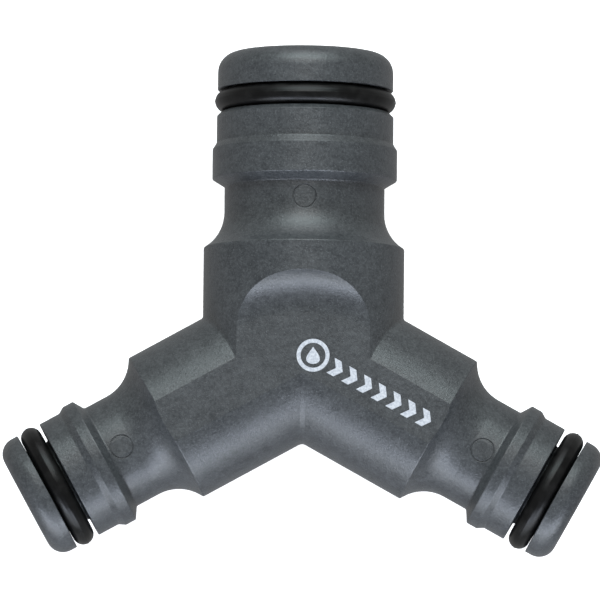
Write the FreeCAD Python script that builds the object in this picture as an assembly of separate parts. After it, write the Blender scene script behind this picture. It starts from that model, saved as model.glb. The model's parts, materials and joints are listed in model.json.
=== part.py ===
import FreeCAD, Part
import math
import os
from types import SimpleNamespace

from FreeCAD import Placement, Rotation, Vector

# Hose splitter: one large inlet spigot that branches into two smaller outlet spigots. The
# body is one hollow moulding, and each spigot carries a rubber ring that seals in a coupling.
# Millimetres and degrees. The origin is the centre of the inlet's mouth, +Y points out of
# the inlet along its bore, +Z points out of the front flat, and all three bores lie in z = 0.

# A branch is sized outwards from the hub centre, where the three bores meet.
inlet = SimpleNamespace(
    trunk_radius=12.6,  # thick root that the outlets grow from
    trunk_length=13.15,  # hub centre to the shoulder's edge
    shoulder_sweep=5.2,  # hollow radius that runs the shoulder into the neck
    neck_radius=10.05,  # waist that a coupling's claws close on
    neck_length=7.75,  # shoulder's edge to the foot of the collar
    mark_setback=2.1,  # foot of the collar to the middle of the mould insert's mark
    ramp_length=0.95,  # locking face of the collar
    collar_radius=11.6,
    collar_length=3.75,
    step_length=0.8,  # slope from the collar down to the land
    land_radius=11.1,
    land_length=3.9,
    groove_bevel=0.5,  # broken edge between the land and the ring's groove
    groove_floor_radius=8.7,
    groove_play=0.08,  # groove width beyond the ring's thickness
    ring_thickness=2.75,
    nose_radius=11.03,
    nose_length=4.75,
    nose_rounding=2.5,  # lead-in round of the end
    bore_radius=7.0,
)
outlet = SimpleNamespace(
    trunk_radius=9.87,
    trunk_length=19.5,
    shoulder_sweep=5.2,
    neck_radius=6.95,
    neck_length=7.9,
    mark_setback=1.7,
    ramp_length=0.9,
    collar_radius=8.38,
    collar_length=1.4,
    step_length=0.8,
    land_radius=7.87,
    land_length=2.8,
    groove_bevel=0.08,
    groove_floor_radius=5.5,
    groove_play=0.35,
    ring_thickness=2.75,
    nose_radius=7.9,
    nose_length=3.0,
    nose_rounding=2.13,
    bore_radius=4.3,
)
outlet_angle = 119.0  # from the inlet's axis to each outlet's axis

flat_depth = 0.41  # how far the front and back flats cut into an outlet trunk's crown
arch_start = 4.4  # hub centre to where each flat starts to curve out of the inlet trunk
arch_bow = 18.0  # round of that start line, seen from the front
arch_radius = 5.6  # hollow that the flat curves out through

shoulder_slope = 57.5  # first slope of every shoulder, from the branch's axis
edge_rounding = 0.2  # moulded outside edges
foot_rounding = 0.3  # moulded inside corners
side_fillet = 0.4  # where an outlet trunk leaves the inlet trunk
crotch_fillet = 0.8  # where the two outlet trunks meet
mouth_lead = 0.4  # broken edge of each bore's mouth

mark_radius = 1.5  # mould insert's mark on the front of each neck, a ring round a faint flat
mark_line = 0.16  # width of the ring's groove
mark_depth = 0.1
mark_flat_depth = 0.07  # below the neck's crown

ring_bedding = 0.05  # how far a stretched ring flattens on its groove's floor
ring_side_gap = 0.04  # between a ring and the nose side of its groove

full_run_share = 0.99  # the most of a straight run that its two roundings may take up
match_tolerance = 0.01  # for picking the edges to fillet
tool_overrun = 10.0  # how far a cutting tool passes what it cuts
tool_side = 0.5  # how far the flats' cutting tool passes them sideways


def stations(branch):
    """Distances from the hub centre, along a branch's axis, of every step in its outline."""
    drop = branch.trunk_radius - branch.neck_radius
    neck_end = branch.trunk_length + branch.neck_length
    collar_start = neck_end + branch.ramp_length
    collar_end = collar_start + branch.collar_length
    land_start = collar_end + branch.step_length
    groove_start = land_start + branch.land_length
    groove_end = groove_start + branch.ring_thickness + branch.groove_play
    return SimpleNamespace(
        shoulder_foot=branch.trunk_length + drop / math.tan(math.radians(shoulder_slope)),
        neck_end=neck_end,
        collar_start=collar_start,
        collar_end=collar_end,
        land_start=land_start,
        groove_start=groove_start,
        groove_end=groove_end,
        mouth=groove_end + branch.nose_length,
    )


flat_height = outlet.trunk_radius - flat_depth
flat_half_width = math.sqrt(outlet.trunk_radius**2 - flat_height**2)
hub_centre = Vector(0, -stations(inlet).mouth, 0)


class Branch:
    """A branch in its place: its sizes, and its direction as a turn about the hub from +Y."""

    def __init__(self, size, turn):
        self.size = size
        self.placement = Placement(hub_centre, Rotation(Vector(0, 0, 1), turn))

    def place(self, shape):
        """Moves a shape, made with the hub centre at the origin and the branch along +Y."""
        shape.Placement = self.placement
        return shape

    def touches_trunk(self, point):
        """Whether a point lies on the surface of this branch's trunk."""
        local = self.placement.inverse().multVec(point)
        return abs(math.hypot(local.x, local.z) - self.size.trunk_radius) < match_tolerance


branches = {
    "inlet": Branch(inlet, 0.0),
    "left_outlet": Branch(outlet, outlet_angle),
    "right_outlet": Branch(outlet, -outlet_angle),
}


def rounded_corner(corner, arriving, leaving, reach):
    """Start, middle and end of the arc that rounds a corner and takes up reach of both its runs."""
    back = (arriving * -1).normalize()
    ahead = Vector(leaving).normalize()
    half_angle = back.getAngle(ahead) / 2
    radius = reach * math.tan(half_angle)
    inward = (back + ahead).normalize()
    middle = corner + inward * (radius / math.sin(half_angle) - radius)
    return corner + back * reach, middle, corner + ahead * reach


def rounded_outline(corners):
    """A closed wire through (radius, station, rounding) corners, with the roundings as arcs.

    Where two roundings would overrun the run between them, they share it in proportion.
    """
    count = len(corners)
    points = [Vector(radius, station, 0) for radius, station, _ in corners]
    runs = [points[(i + 1) % count] - points[i] for i in range(count)]
    reaches = []
    for i in range(count):
        half_angle = runs[i].getAngle(runs[i - 1] * -1) / 2
        reaches.append(corners[i][2] / math.tan(half_angle))
    shares = []
    for i in range(count):
        wanted = reaches[i] + reaches[(i + 1) % count]
        room = full_run_share * runs[i].Length
        shares.append(room / wanted if wanted > room else 1.0)

    arcs = []
    for i in range(count):
        reach = reaches[i] * min(shares[i - 1], shares[i])
        arcs.append(rounded_corner(points[i], runs[i - 1], runs[i], reach))
    edges = []
    for i in range(count):
        start, middle, end = arcs[i]
        edges.append(Part.LineSegment(arcs[i - 1][2], start).toShape())
        if corners[i][2] > 0:
            edges.append(Part.Arc(start, middle, end).toShape())
    return Part.Wire(edges)


def turned(outline):
    """The solid that an outline sweeps in a whole turn about its branch's axis."""
    return Part.Face(outline).revolve(Vector(0, 0, 0), Vector(0, 1, 0), 360)


def branch_outside(branch, root):
    """A branch without its bore, from the station root to its end face."""
    size = branch.size
    at = stations(size)
    corners = [
        (0, root, 0),
        (size.trunk_radius, root, 0),
        (size.trunk_radius, size.trunk_length, edge_rounding),
        (size.neck_radius, at.shoulder_foot, size.shoulder_sweep),
        (size.neck_radius, at.neck_end, foot_rounding),
        (size.collar_radius, at.collar_start, edge_rounding),
        (size.collar_radius, at.collar_end, edge_rounding),
        (size.land_radius, at.land_start, foot_rounding),
        (size.land_radius, at.groove_start - size.groove_bevel, 0),
        (size.land_radius - size.groove_bevel, at.groove_start, 0),
        (size.groove_floor_radius, at.groove_start, foot_rounding),
        (size.groove_floor_radius, at.groove_end, foot_rounding),
        (size.nose_radius, at.groove_end, edge_rounding / 2),
        (size.nose_radius, at.mouth, size.nose_rounding),
        (0, at.mouth, 0),
    ]
    return branch.place(turned(rounded_outline(corners)))


def bore(branch):
    """The water way of a branch, from the hub centre out through its mouth."""
    radius = branch.size.bore_radius
    mouth = stations(branch.size).mouth
    corners = [
        (0, 0, 0),
        (radius, 0, 0),
        (radius, mouth - mouth_lead, 0),
        (radius + mouth_lead + tool_overrun, mouth + tool_overrun, 0),
        (0, mouth + tool_overrun, 0),
    ]
    return branch.place(turned(rounded_outline(corners)))


def between_outlets():
    """All of the space below the hub that lies between the two outlets' axes."""
    reach = stations(outlet).mouth
    side = Rotation(Vector(0, 0, 1), -outlet_angle).multVec(Vector(0, reach, 0))
    corners = [
        Vector(0, 0, -reach),
        Vector(side.x, side.y, -reach),
        Vector(0, -2 * reach, -reach),
        Vector(-side.x, side.y, -reach),
        Vector(0, 0, -reach),
    ]
    space = Part.Face(Part.makePolygon(corners)).extrude(Vector(0, 0, 2 * reach))
    space.translate(hub_centre)
    return space


def arch_cutter():
    """What is cut away above the front flat where it curves out of the inlet trunk."""
    top = flat_height + arch_radius + tool_overrun
    rise = arch_radius * math.sin(math.radians(45))
    profile = [
        Vector(0, 0, flat_height),
        Vector(0, arch_bow, flat_height),
        Vector(0, arch_bow + rise, flat_height + arch_radius - rise),
        Vector(0, arch_bow + arch_radius, flat_height + arch_radius),
        Vector(0, arch_bow + arch_radius, top),
        Vector(0, 0, top),
    ]
    edges = [
        Part.LineSegment(profile[0], profile[1]).toShape(),
        Part.Arc(profile[1], profile[2], profile[3]).toShape(),
        Part.LineSegment(profile[3], profile[4]).toShape(),
        Part.LineSegment(profile[4], profile[5]).toShape(),
        Part.LineSegment(profile[5], profile[0]).toShape(),
    ]
    # Turned about an upright axis, so that the hollow starts on a bowed line.
    cutter = Part.Face(Part.Wire(edges)).revolve(Vector(0, 0, 0), Vector(0, 0, 1), 360)
    cutter.translate(hub_centre + Vector(0, arch_start - arch_bow, 0))
    return cutter


def flat_cutter(branch):
    """What is cut away above an outlet's front flat, from the hub outwards."""
    half_width = flat_half_width + tool_side
    reach = stations(branch.size).mouth
    corner = Vector(-half_width, 0, flat_height)
    return branch.place(Part.makeBox(2 * half_width, reach, tool_overrun, corner))


def mark_cutter(branch):
    """A ring groove of even depth on the front of a branch's neck, round a flat just under its crown."""
    size = branch.size
    at = stations(size)
    foot = Vector(0, at.neck_end - size.mark_setback, 0)
    height = size.trunk_radius
    insert = Part.makeCylinder(mark_radius - mark_line, height, foot)
    groove = Part.makeCylinder(mark_radius, height, foot).cut(insert)
    groove_floor = size.neck_radius - mark_depth
    core = Part.makeCylinder(groove_floor, at.mouth, Vector(0, 0, 0), Vector(0, 1, 0))
    flat = insert.copy()
    flat.translate(Vector(0, 0, size.neck_radius - mark_flat_depth))
    return branch.place(Part.makeCompound([groove.cut(core), flat]))


def fillet_where_trunks_meet(body, first, second, radius):
    """Rounds the inside corner along which two branches' trunks meet."""
    seam = [
        edge
        for edge in body.Edges
        if all(first.touches_trunk(p) and second.touches_trunk(p) for p in edge.discretize(5))
    ]
    return body.makeFillet(radius, seam)


def splitter_body():
    """The one-piece moulding: three branches, the flats, the water way and the mould's marks."""
    trunk, left, right = branches.values()
    # The inlet trunk runs on to the outlets' axes, so that its end is hidden inside their trunks.
    body = branch_outside(trunk, -2 * trunk.size.trunk_radius).cut(between_outlets())
    body = body.fuse([branch_outside(left, 0), branch_outside(right, 0)])
    front = arch_cutter().fuse([flat_cutter(left), flat_cutter(right)])
    body = body.cut([front, front.mirror(Vector(0, 0, 0), Vector(0, 0, 1))]).removeSplitter()
    body = fillet_where_trunks_meet(body, trunk, left, side_fillet)
    body = fillet_where_trunks_meet(body, trunk, right, side_fillet)
    body = fillet_where_trunks_meet(body, left, right, crotch_fillet)
    body = body.cut([bore(branch) for branch in branches.values()])
    return body.cut([mark_cutter(branch) for branch in branches.values()])


def sealing_ring(branch):
    """A round rubber ring that sits on its groove's floor, pushed towards the nose."""
    size = branch.size
    half = size.ring_thickness / 2
    centre_radius = size.groove_floor_radius + half - ring_bedding
    centre_station = stations(size).groove_end - ring_side_gap - half
    flat_half = math.sqrt(half**2 - (half - ring_bedding) ** 2)
    low = Vector(size.groove_floor_radius, centre_station - flat_half, 0)
    high = Vector(size.groove_floor_radius, centre_station + flat_half, 0)
    outermost = Vector(centre_radius + half, centre_station, 0)
    outline = Part.Wire([Part.Arc(low, outermost, high).toShape(), Part.LineSegment(high, low).toShape()])
    return branch.place(turned(outline))


def main():
    parts = {"splitter_body": splitter_body()}
    for name, branch in branches.items():
        parts[f"{name}_o_ring"] = sealing_ring(branch)

    os.makedirs("parts", exist_ok=True)
    for name, shape in parts.items():
        solid, = shape.Solids
        solid.exportStep(f"parts/{name}.step")
        state = "valid" if solid.isValid() else "not valid"
        print(f"{name}: {state}, {solid.Volume:.1f} mm3")


main()
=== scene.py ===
import json
import math
from collections import namedtuple

import bpy
from mathutils import Matrix, Vector


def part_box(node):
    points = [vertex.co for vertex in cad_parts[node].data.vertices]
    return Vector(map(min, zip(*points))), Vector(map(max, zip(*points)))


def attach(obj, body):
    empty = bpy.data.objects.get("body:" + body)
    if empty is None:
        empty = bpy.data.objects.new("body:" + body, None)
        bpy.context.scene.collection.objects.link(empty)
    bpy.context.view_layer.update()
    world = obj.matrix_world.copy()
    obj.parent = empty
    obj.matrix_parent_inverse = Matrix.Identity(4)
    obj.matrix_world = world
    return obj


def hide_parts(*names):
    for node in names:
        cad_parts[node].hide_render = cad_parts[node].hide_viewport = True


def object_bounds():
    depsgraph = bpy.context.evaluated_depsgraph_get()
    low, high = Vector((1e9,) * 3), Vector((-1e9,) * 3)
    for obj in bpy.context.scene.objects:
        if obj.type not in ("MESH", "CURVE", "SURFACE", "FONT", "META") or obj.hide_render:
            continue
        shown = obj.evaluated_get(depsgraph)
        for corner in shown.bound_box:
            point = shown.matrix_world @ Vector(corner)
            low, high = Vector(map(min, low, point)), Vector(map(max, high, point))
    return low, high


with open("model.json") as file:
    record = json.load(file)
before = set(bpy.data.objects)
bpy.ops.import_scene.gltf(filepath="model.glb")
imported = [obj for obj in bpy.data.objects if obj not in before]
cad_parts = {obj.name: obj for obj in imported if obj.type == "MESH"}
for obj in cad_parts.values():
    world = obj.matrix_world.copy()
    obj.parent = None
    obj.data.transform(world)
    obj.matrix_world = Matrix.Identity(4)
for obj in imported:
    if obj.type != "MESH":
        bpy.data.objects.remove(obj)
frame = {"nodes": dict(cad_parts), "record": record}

cad_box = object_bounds()

# Metres, in the row frame: +Y out of the inlet, +Z out of the printed front, origin at the
# centre of the inlet's mouth. MM turns millimetres into metres.
MM = 0.001

# Camera. It stands in front of the flat, tipped towards the outlets.
VIEW_WIDTH = 75.23 * MM  # what the picture spans at the hub
CAMERA_DISTANCE = 1065 * MM
CAMERA_TIP = math.radians(5.42)  # from square to the flat, towards the outlets
CAMERA_ROLL = math.radians(0.56)
AIM_ABOVE_HUB = 6.71 * MM  # the picture's middle, towards the inlet
AIM_ASIDE = 0.37 * MM  # and towards the left outlet
SENSOR_MM = 36.0
CLIP_NEAR = 0.05
CLIP_FAR = 20.0

# Softboxes round the hub, with angles in degrees. Lean is the angle from square to the flat,
# towards the inlet where it is above 0. Spread and width are the angles that a box covers along
# the lean and across it, before it moves aside, towards the right outlet where that is above 0.
SOFTBOX_DISTANCE = 0.6
Softbox = namedtuple("Softbox", "lean aside spread width glow colour")
SOFTBOXES = {
    "light_inlet_core": Softbox(30, 0, 20, 30, 4.8, (1.0, 1.0, 1.0)),
    "light_inlet_wide": Softbox(50, 0, 20, 52, 5.9, (0.82, 0.98, 1.0)),
    "light_inlet_low": Softbox(72, 0, 24, 30, 2.4, (0.95, 0.97, 1.0)),
    "light_left_outlet": Softbox(-68, -23, 16, 25, 10.8, (0.77, 0.85, 1.0)),
    "light_right_outlet": Softbox(-68, 23, 16, 25, 10.8, (0.77, 0.85, 1.0)),
    "light_outlets_middle": Softbox(-68, 0, 16, 22.5, 7.0, (0.77, 0.85, 1.0)),
    "light_outlet_low": Softbox(-86, 0, 18, 76, 4.4, (0.88, 0.94, 1.0)),
}
STUDIO_GLOW = 0.37  # the plain room round them
FLOOR_GLOW = 0.8  # the floor is lit from behind, so that it carries almost no shadow
FLOOR_REACH = 3.0  # from the object's middle to each edge of the floor

# Materials. Sizes of patterns and depths of relief are in millimetres, as their names say.
PLASTIC_DARK = (0.028, 0.031, 0.034)
PLASTIC_PALE = (0.070, 0.075, 0.079)
FLECK_COLOUR = (0.16, 0.17, 0.18)  # glass fibre that shows at the surface
FLECK_STRENGTH = 0.3
CLOUD_SIZE_MM = 5.0
BLOTCH_SIZE_MM = 1.0
GRAIN_SIZE_MM = 0.32
FLECK_SIZE_MM = 0.16
WAVE_SIZE_MM = 2.6
WAVE_DEPTH_MM = 0.035
GRAIN_DEPTH_MM = 0.04
EDGE_SOFTNESS_MM = 0.12
FLOW_SIZE_MM = 0.9
FLOW_STRETCH = (0.22, 1.6, 0.5)  # flow lines are long one way and narrow across
FLOW_TURN = math.radians(-24)
RUBBER_BLACK = (0.003, 0.003, 0.003)
RUBBER_BLOOM = (0.008, 0.0078, 0.0076)
RUBBER_SKIN_MM = 0.006
INK_WORN = (0.44, 0.46, 0.51)
INK_FULL = (0.62, 0.64, 0.68)
INK_RELIEF_MM = 0.01
BEVEL_SAMPLES = 6

# Seal rings.
FLASH_HEIGHT = 0.05 * MM  # seam of the ring's mould, round its outside
FLASH_WIDTH = 0.16 * MM
RING_STEPS = 288
SECTION_STEPS = 56

# Printed mark, along the right outlet from the hub.
INK_THICKNESS = 0.02 * MM
INK_BEDDING = 0.004 * MM  # how far the ink goes into the grain
MARK_DROP = -0.3 * MM  # the mark's line lies just below the outlet's axis
EMBLEM_PLACE = 1.6 * MM
EMBLEM_RADIUS = 2.05 * MM
EMBLEM_LINE = 0.5 * MM
DROP_RADIUS = 0.8 * MM  # a water drop in the emblem's ring
DROP_SHOULDER = 1.5  # how fast the drop narrows towards its point
DROP_STRETCH = 1.35  # its height over its width
FIRST_CHEVRON = 4.1 * MM
CHEVRON_COUNT = 7
CHEVRON_PITCH = 2.1 * MM
CHEVRON_HEIGHT = 2.1 * MM
CHEVRON_REACH = 0.75 * MM  # from its tail to its point
CHEVRON_STROKE = 0.98 * MM
OUTLINE_STEPS = 96  # points round the emblem's ring and drop


def mount(name):
    """A mount's place and direction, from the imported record."""
    found = next(m for m in frame["record"]["mounts"] if m["name"] == name)
    return Vector(found["pos_m"]), Vector(found["axis"]).normalized()


def hub_centre():
    """Where the right outlet's axis meets the inlet's."""
    place, direction = mount("right_outlet")
    return place - direction * (place.x / direction.x)


HUB = hub_centre()


# ---------------------------------------------------------------- material building


class Nodes:
    """A material's node tree, with one short call for each kind of node."""

    def __init__(self, name):
        self.material = bpy.data.materials.new(name)
        self.material.use_nodes = True
        self.tree = self.material.node_tree
        self.tree.nodes.clear()
        output = self.add("ShaderNodeOutputMaterial")
        self.shader = self.add("ShaderNodeBsdfPrincipled")
        self.link(self.shader.outputs["BSDF"], output.inputs["Surface"])
        place = self.add("ShaderNodeTexCoord")
        self.mm = self.mapping(place.outputs["Object"], (1 / MM, 1 / MM, 1 / MM))

    def add(self, kind, **values):
        node = self.tree.nodes.new(kind)
        for key, value in values.items():
            setattr(node, key, value)
        return node

    def link(self, source, target):
        self.tree.links.new(source, target)

    def mapping(self, vector, scale=(1, 1, 1), rotation=(0, 0, 0)):
        node = self.add("ShaderNodeMapping")
        node.inputs["Scale"].default_value = scale
        node.inputs["Rotation"].default_value = rotation
        self.link(vector, node.inputs["Vector"])
        return node.outputs["Vector"]

    def noise(self, size_mm, detail=2.0, roughness=0.5, vector=None):
        """Noise from 0 to 1 with features of about this size."""
        node = self.add("ShaderNodeTexNoise")
        node.inputs["Scale"].default_value = 1 / size_mm
        node.inputs["Detail"].default_value = detail
        node.inputs["Roughness"].default_value = roughness
        self.link(vector or self.mm, node.inputs["Vector"])
        return node.outputs["Fac"]

    def remap(self, value, low, high, to_low=0.0, to_high=1.0):
        node = self.add("ShaderNodeMapRange", clamp=True)
        node.inputs["From Min"].default_value = low
        node.inputs["From Max"].default_value = high
        node.inputs["To Min"].default_value = to_low
        node.inputs["To Max"].default_value = to_high
        self.link(value, node.inputs["Value"])
        return node.outputs["Result"]

    def math(self, operation, first, second):
        node = self.add("ShaderNodeMath", operation=operation)
        for socket, value in zip(node.inputs, (first, second)):
            if isinstance(value, (int, float)):
                socket.default_value = value
            else:
                self.link(value, socket)
        return node.outputs["Value"]

    def mix_values(self, parts):
        """Adds up values, each times its share."""
        total = 0.0
        for value, share in parts:
            total = self.math("ADD", self.math("MULTIPLY", value, share), total)
        return total

    def blend(self, factor, first, second):
        """Mixes two colours, each a socket or three numbers."""
        node = self.add("ShaderNodeMix", data_type="RGBA")
        self.link(factor, node.inputs["Factor"])
        # The node has its inputs A and B and its result once for each data type. These are RGBA's.
        for socket, value in ((node.inputs[6], first), (node.inputs[7], second)):
            if isinstance(value, tuple):
                socket.default_value = (*value, 1)
            else:
                self.link(value, socket)
        return node.outputs[2]

    def bump(self, height, depth_mm, normal=None):
        """Adds relief, from 0 at its lowest to depth_mm at its highest."""
        node = self.add("ShaderNodeBump")
        node.inputs["Strength"].default_value = 1.0
        node.inputs["Distance"].default_value = depth_mm * MM
        self.link(height, node.inputs["Height"])
        if normal:
            self.link(normal, node.inputs["Normal"])
        return node.outputs["Normal"]

    def soft_edges(self, radius_mm):
        """Shades sharp edges as if they were rounded."""
        node = self.add("ShaderNodeBevel", samples=BEVEL_SAMPLES)
        node.inputs["Radius"].default_value = radius_mm * MM
        return node.outputs["Normal"]


def moulded_plastic():
    """Dark grey glass-filled plastic: spark-eroded grain, cloudy colour and faint flow lines."""
    n = Nodes("moulded_plastic")
    clouds = n.noise(CLOUD_SIZE_MM, detail=3.0, roughness=0.55)
    blotches = n.noise(BLOTCH_SIZE_MM, detail=3.0, roughness=0.6)
    grain = n.noise(GRAIN_SIZE_MM, detail=4.0, roughness=0.75)
    flow = n.noise(FLOW_SIZE_MM, vector=n.mapping(n.mm, FLOW_STRETCH, (0, 0, FLOW_TURN)))

    tone = n.mix_values(((clouds, 0.14), (blotches, 0.2), (grain, 0.56), (flow, 0.1)))
    colour = n.blend(n.remap(tone, 0.4, 0.6), PLASTIC_DARK, PLASTIC_PALE)
    fleck = n.remap(n.noise(FLECK_SIZE_MM, detail=1.0), 0.64, 0.72)
    colour = n.blend(n.math("MULTIPLY", fleck, FLECK_STRENGTH), colour, FLECK_COLOUR)
    n.link(colour, n.shader.inputs["Base Color"])

    n.link(n.remap(blotches, 0.3, 0.7, 0.29, 0.38), n.shader.inputs["Roughness"])
    n.shader.inputs["Specular IOR Level"].default_value = 0.5

    normal = n.soft_edges(EDGE_SOFTNESS_MM)
    normal = n.bump(n.noise(WAVE_SIZE_MM), WAVE_DEPTH_MM, normal)
    normal = n.bump(grain, GRAIN_DEPTH_MM, normal)
    n.link(normal, n.shader.inputs["Normal"])
    return n.material


def seal_rubber():
    """Black rubber, a little shiny, with a dusty bloom and a fine skin."""
    n = Nodes("seal_rubber")
    bloom = n.noise(1.4, detail=3.0)
    colour = n.blend(n.remap(bloom, 0.4, 0.7), RUBBER_BLACK, RUBBER_BLOOM)
    n.link(colour, n.shader.inputs["Base Color"])
    n.link(n.remap(bloom, 0.3, 0.7, 0.28, 0.4), n.shader.inputs["Roughness"])
    n.shader.inputs["Specular IOR Level"].default_value = 0.2
    n.link(n.bump(n.noise(0.35), RUBBER_SKIN_MM), n.shader.inputs["Normal"])
    return n.material


def print_ink():
    """Pale grey pad-printed ink, slightly uneven where the grain shows through."""
    n = Nodes("print_ink")
    wear = n.noise(0.28, detail=3.0, roughness=0.6)
    colour = n.blend(n.remap(wear, 0.38, 0.62), INK_WORN, INK_FULL)
    n.link(colour, n.shader.inputs["Base Color"])
    n.shader.inputs["Roughness"].default_value = 0.5
    n.link(n.bump(wear, INK_RELIEF_MM), n.shader.inputs["Normal"])
    return n.material


def floor_white():
    n = Nodes("floor_white")
    n.shader.inputs["Base Color"].default_value = (0.9, 0.9, 0.9, 1)
    n.shader.inputs["Roughness"].default_value = 0.8
    n.shader.inputs["Emission Color"].default_value = (1, 1, 1, 1)
    n.shader.inputs["Emission Strength"].default_value = FLOOR_GLOW
    return n.material


def paint(piece, material):
    """Gives a piece one material in every slot."""
    piece.data.materials.clear()
    piece.data.materials.append(material)


# ---------------------------------------------------------------- pieces


def add_mesh(name, points, faces, material, smooth=True):
    mesh = bpy.data.meshes.new(name)
    mesh.from_pydata(points, [], faces)
    mesh.update()
    piece = bpy.data.objects.new(name, mesh)
    bpy.context.scene.collection.objects.link(piece)
    mesh.polygons.foreach_set("use_smooth", [smooth] * len(mesh.polygons))
    mesh.materials.append(material)
    return piece


def ring_section(node, axis):
    """A CAD ring's centre, its centre line's radius, half its thickness and its inside radius."""
    low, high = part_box(node)
    centre = (low + high) / 2
    offsets = [vertex.co - centre for vertex in frame["nodes"][node].data.vertices]
    reaches = [offset.dot(axis) for offset in offsets]
    radii = [(offset - axis * reach).length for offset, reach in zip(offsets, reaches)]
    half = max(abs(reach) for reach in reaches)
    return centre, max(radii) - half, half, min(radii)


def seal_ring(branch, material):
    """A round ring with the fine seam that its mould leaves round the outside."""
    node = branch + "_o_ring"
    axis = mount(branch)[1]
    centre, centre_radius, half, inside_radius = ring_section(node, axis)
    side = Vector((0, 0, 1))
    front = axis.cross(side)
    skin = half - FLASH_HEIGHT  # the seam's crest keeps within the CAD ring
    points = []
    for i in range(RING_STEPS):
        turn = 2 * math.pi * i / RING_STEPS
        outward = side * math.cos(turn) + front * math.sin(turn)
        for j in range(SECTION_STEPS):
            angle = 2 * math.pi * j / SECTION_STEPS
            across = skin * math.sin(angle)
            seam = math.exp(-((across / (FLASH_WIDTH / 2)) ** 2)) if math.cos(angle) > 0 else 0
            radius = centre_radius + skin * math.cos(angle) + FLASH_HEIGHT * seam
            points.append(centre + outward * max(radius, inside_radius) + axis * across)
    faces = []
    for i in range(RING_STEPS):
        this = i * SECTION_STEPS
        following = (i + 1) % RING_STEPS * SECTION_STEPS
        for j in range(SECTION_STEPS):
            k = (j + 1) % SECTION_STEPS
            faces.append((this + j, this + k, following + k, following + j))
    piece = add_mesh(branch + "_seal", points, faces, material)
    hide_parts(node)
    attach(piece, "root")


def flat_height():
    """Height of the front flat above the bores' plane, at the hub."""
    body = frame["nodes"]["splitter_body"]
    hit, place, _, _ = body.ray_cast(HUB + Vector((0, 0, 1)), Vector((0, 0, -1)))
    assert hit
    return place.z


def circle(radius):
    turns = [2 * math.pi * i / OUTLINE_STEPS for i in range(OUTLINE_STEPS)]
    return [(radius * math.cos(turn), radius * math.sin(turn)) for turn in turns]


def drop(radius):
    """A falling water drop: round below, drawn out to a point above."""
    points = []
    for i in range(OUTLINE_STEPS):
        turn = 2 * math.pi * i / OUTLINE_STEPS
        width = radius * DROP_SHOULDER * math.sin(turn) * math.sin(turn / 2) ** DROP_SHOULDER
        points.append((width, radius * DROP_STRETCH * math.cos(turn)))
    return points


def chevron(height, reach, stroke):
    """An arrowhead without a shaft, pointing along +X."""
    half = height / 2
    return [(0, -half), (stroke, -half), (stroke + reach, 0), (stroke, half), (0, half), (reach, 0)]


def ink(name, outlines, place, turn, material):
    """A thin printed shape on the front flat. An outline inside another one is a hole."""
    curve = bpy.data.curves.new(name, "CURVE")
    curve.dimensions = "2D"
    curve.fill_mode = "BOTH"
    curve.extrude = INK_THICKNESS / 2
    for outline in outlines:
        spline = curve.splines.new("POLY")
        spline.points.add(len(outline) - 1)
        for point, (x, y) in zip(spline.points, outline):
            point.co = (x, y, 0, 1)
        spline.use_cyclic_u = True
    scratch = bpy.data.objects.new(name, curve)
    mesh = bpy.data.meshes.new_from_object(scratch)
    bpy.data.objects.remove(scratch)
    mesh.transform(Matrix.Translation(place) @ Matrix.Rotation(turn, 4, "Z"))
    mesh.name = name
    mesh.materials.clear()
    mesh.materials.append(material)
    piece = bpy.data.objects.new(name, mesh)
    bpy.context.scene.collection.objects.link(piece)
    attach(piece, "root")
    return piece


def printed_mark(material):
    """A drop in a ring over the hub, then chevrons that point down the right outlet."""
    axis = mount("right_outlet")[1]
    turn = math.atan2(axis.y, axis.x)
    across = Vector((-axis.y, axis.x, 0))
    height = flat_height() + INK_THICKNESS / 2 - INK_BEDDING
    start = HUB + Vector((0, 0, height)) + across * MARK_DROP
    emblem = start + axis * EMBLEM_PLACE
    ring = [circle(EMBLEM_RADIUS), circle(EMBLEM_RADIUS - EMBLEM_LINE)]
    ink("print_ring", ring, emblem, turn, material)
    ink("print_drop", [drop(DROP_RADIUS)], emblem, 0, material)
    arrow = chevron(CHEVRON_HEIGHT, CHEVRON_REACH, CHEVRON_STROKE)
    for i in range(CHEVRON_COUNT):
        place = start + axis * (FIRST_CHEVRON + i * CHEVRON_PITCH)
        ink(f"print_chevron_{i + 1}", [arrow], place, turn, material)


# ---------------------------------------------------------------- stage, light and camera


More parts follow.
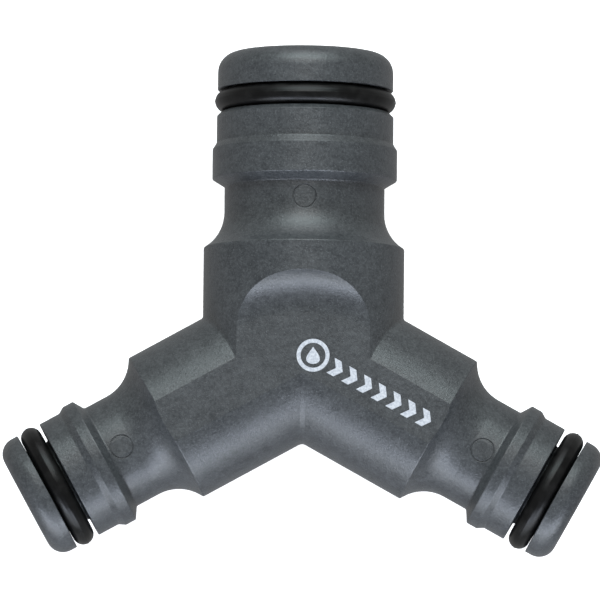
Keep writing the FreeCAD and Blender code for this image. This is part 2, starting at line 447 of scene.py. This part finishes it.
def floor():
    low, high = cad_box
    middle = (low + high) / 2
    left, right = middle.x - FLOOR_REACH, middle.x + FLOOR_REACH
    near, far = middle.y - FLOOR_REACH, middle.y + FLOOR_REACH
    corners = [(left, near, low.z), (right, near, low.z), (right, far, low.z), (left, far, low.z)]
    plane = add_mesh("floor", corners, [(0, 1, 2, 3)], floor_white(), smooth=False)
    plane.visible_diffuse = False  # its glow isn't meant to light the object
    plane.visible_glossy = False


def softbox(name, box):
    """A rectangular lamp that faces back along its lean. Its glow is the same whatever its area."""
    light = bpy.data.lights.new(name, "AREA")
    light.shape = "RECTANGLE"
    light.size = 2 * SOFTBOX_DISTANCE * math.tan(math.radians(box.width / 2))
    light.size_y = 2 * SOFTBOX_DISTANCE * math.tan(math.radians(box.spread / 2))
    light.energy = box.glow * math.pi * light.size * light.size_y
    light.color = box.colour
    lamp = bpy.data.objects.new(name, light)
    turn = Matrix.Rotation(math.radians(-box.lean), 4, "X")
    aside = SOFTBOX_DISTANCE * math.tan(math.radians(box.aside))
    out = Matrix.Translation((aside, 0, SOFTBOX_DISTANCE))
    lamp.matrix_world = Matrix.Translation(HUB) @ turn @ out
    bpy.context.scene.collection.objects.link(lamp)


def lights():
    for name, box in SOFTBOXES.items():
        softbox(name, box)
    world = bpy.data.worlds.new("studio")
    world.use_nodes = True
    background = world.node_tree.nodes["Background"]
    background.inputs["Color"].default_value = (1, 1, 1, 1)
    background.inputs["Strength"].default_value = STUDIO_GLOW
    bpy.context.scene.world = world


def camera():
    lens = bpy.data.cameras.new("camera")
    lens.sensor_width = SENSOR_MM
    lens.lens = SENSOR_MM * CAMERA_DISTANCE / VIEW_WIDTH
    lens.clip_start = CLIP_NEAR
    lens.clip_end = CLIP_FAR
    tip = Matrix.Rotation(CAMERA_TIP, 4, "X")
    roll = Matrix.Rotation(CAMERA_ROLL, 4, "Z")
    aim = Matrix.Translation((-AIM_ASIDE, AIM_ABOVE_HUB, CAMERA_DISTANCE))
    eye = bpy.data.objects.new("camera", lens)
    eye.matrix_world = Matrix.Translation(HUB) @ tip @ roll @ aim
    bpy.context.scene.collection.objects.link(eye)
    bpy.context.scene.camera = eye


paint(frame["nodes"]["splitter_body"], moulded_plastic())
rubber = seal_rubber()
for branch in ("inlet", "left_outlet", "right_outlet"):
    seal_ring(branch, rubber)
printed_mark(print_ink())
floor()
lights()
camera()
bpy.context.scene.view_settings.view_transform = "Standard"
